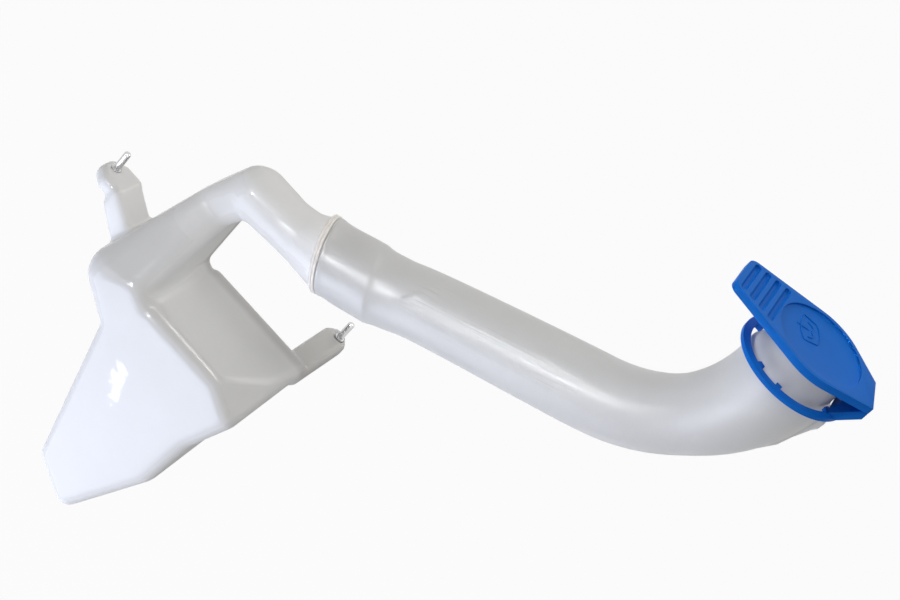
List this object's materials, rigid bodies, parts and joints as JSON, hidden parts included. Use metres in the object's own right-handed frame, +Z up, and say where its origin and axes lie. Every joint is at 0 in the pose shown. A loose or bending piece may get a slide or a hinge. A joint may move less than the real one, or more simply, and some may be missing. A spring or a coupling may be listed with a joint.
{
  "type": "washer fluid reservoir",
  "caption": "Translucent washer fluid tank with gooseneck, long bent filler pipe, hinged blue cap with finger tab, and steel locating pins on moulded lugs.",
  "frame": {"origin": "foot of the rear locating pin, where it leaves its lug", "axes": "+Z up along the pins and the filler mouth, +X along the shelf towards the filler mouth, +Y from the front face to the rear wall"},
  "size_m": [0.4493, 0.1474, 0.4792],
  "materials": {
    "tank": "translucent satin",
    "pin": "bright zinc",
    "seal": "satin",
    "pipe": "translucent satin",
    "cap": "satin",
    "grommet": "matte"
  },
  "bodies": {
    "reservoir": {"tank": "tank", "pin_left": "pin", "pin_rear": "pin", "neck_seal": "seal", "filler_pipe": "pipe", "cap_ring": "cap", "pump_grommet": "grommet"},
    "lid": {"cap_lid": "cap"}
  },
  "joints": [
    {"name": "lid_hinge", "type": "hinge", "parent": "reservoir", "child": "lid", "pos_m": [0.26486, -0.07295, 0.30317], "axis": [-0.342, 0.9397, 0], "range_deg": [0, 120]}
  ]
}
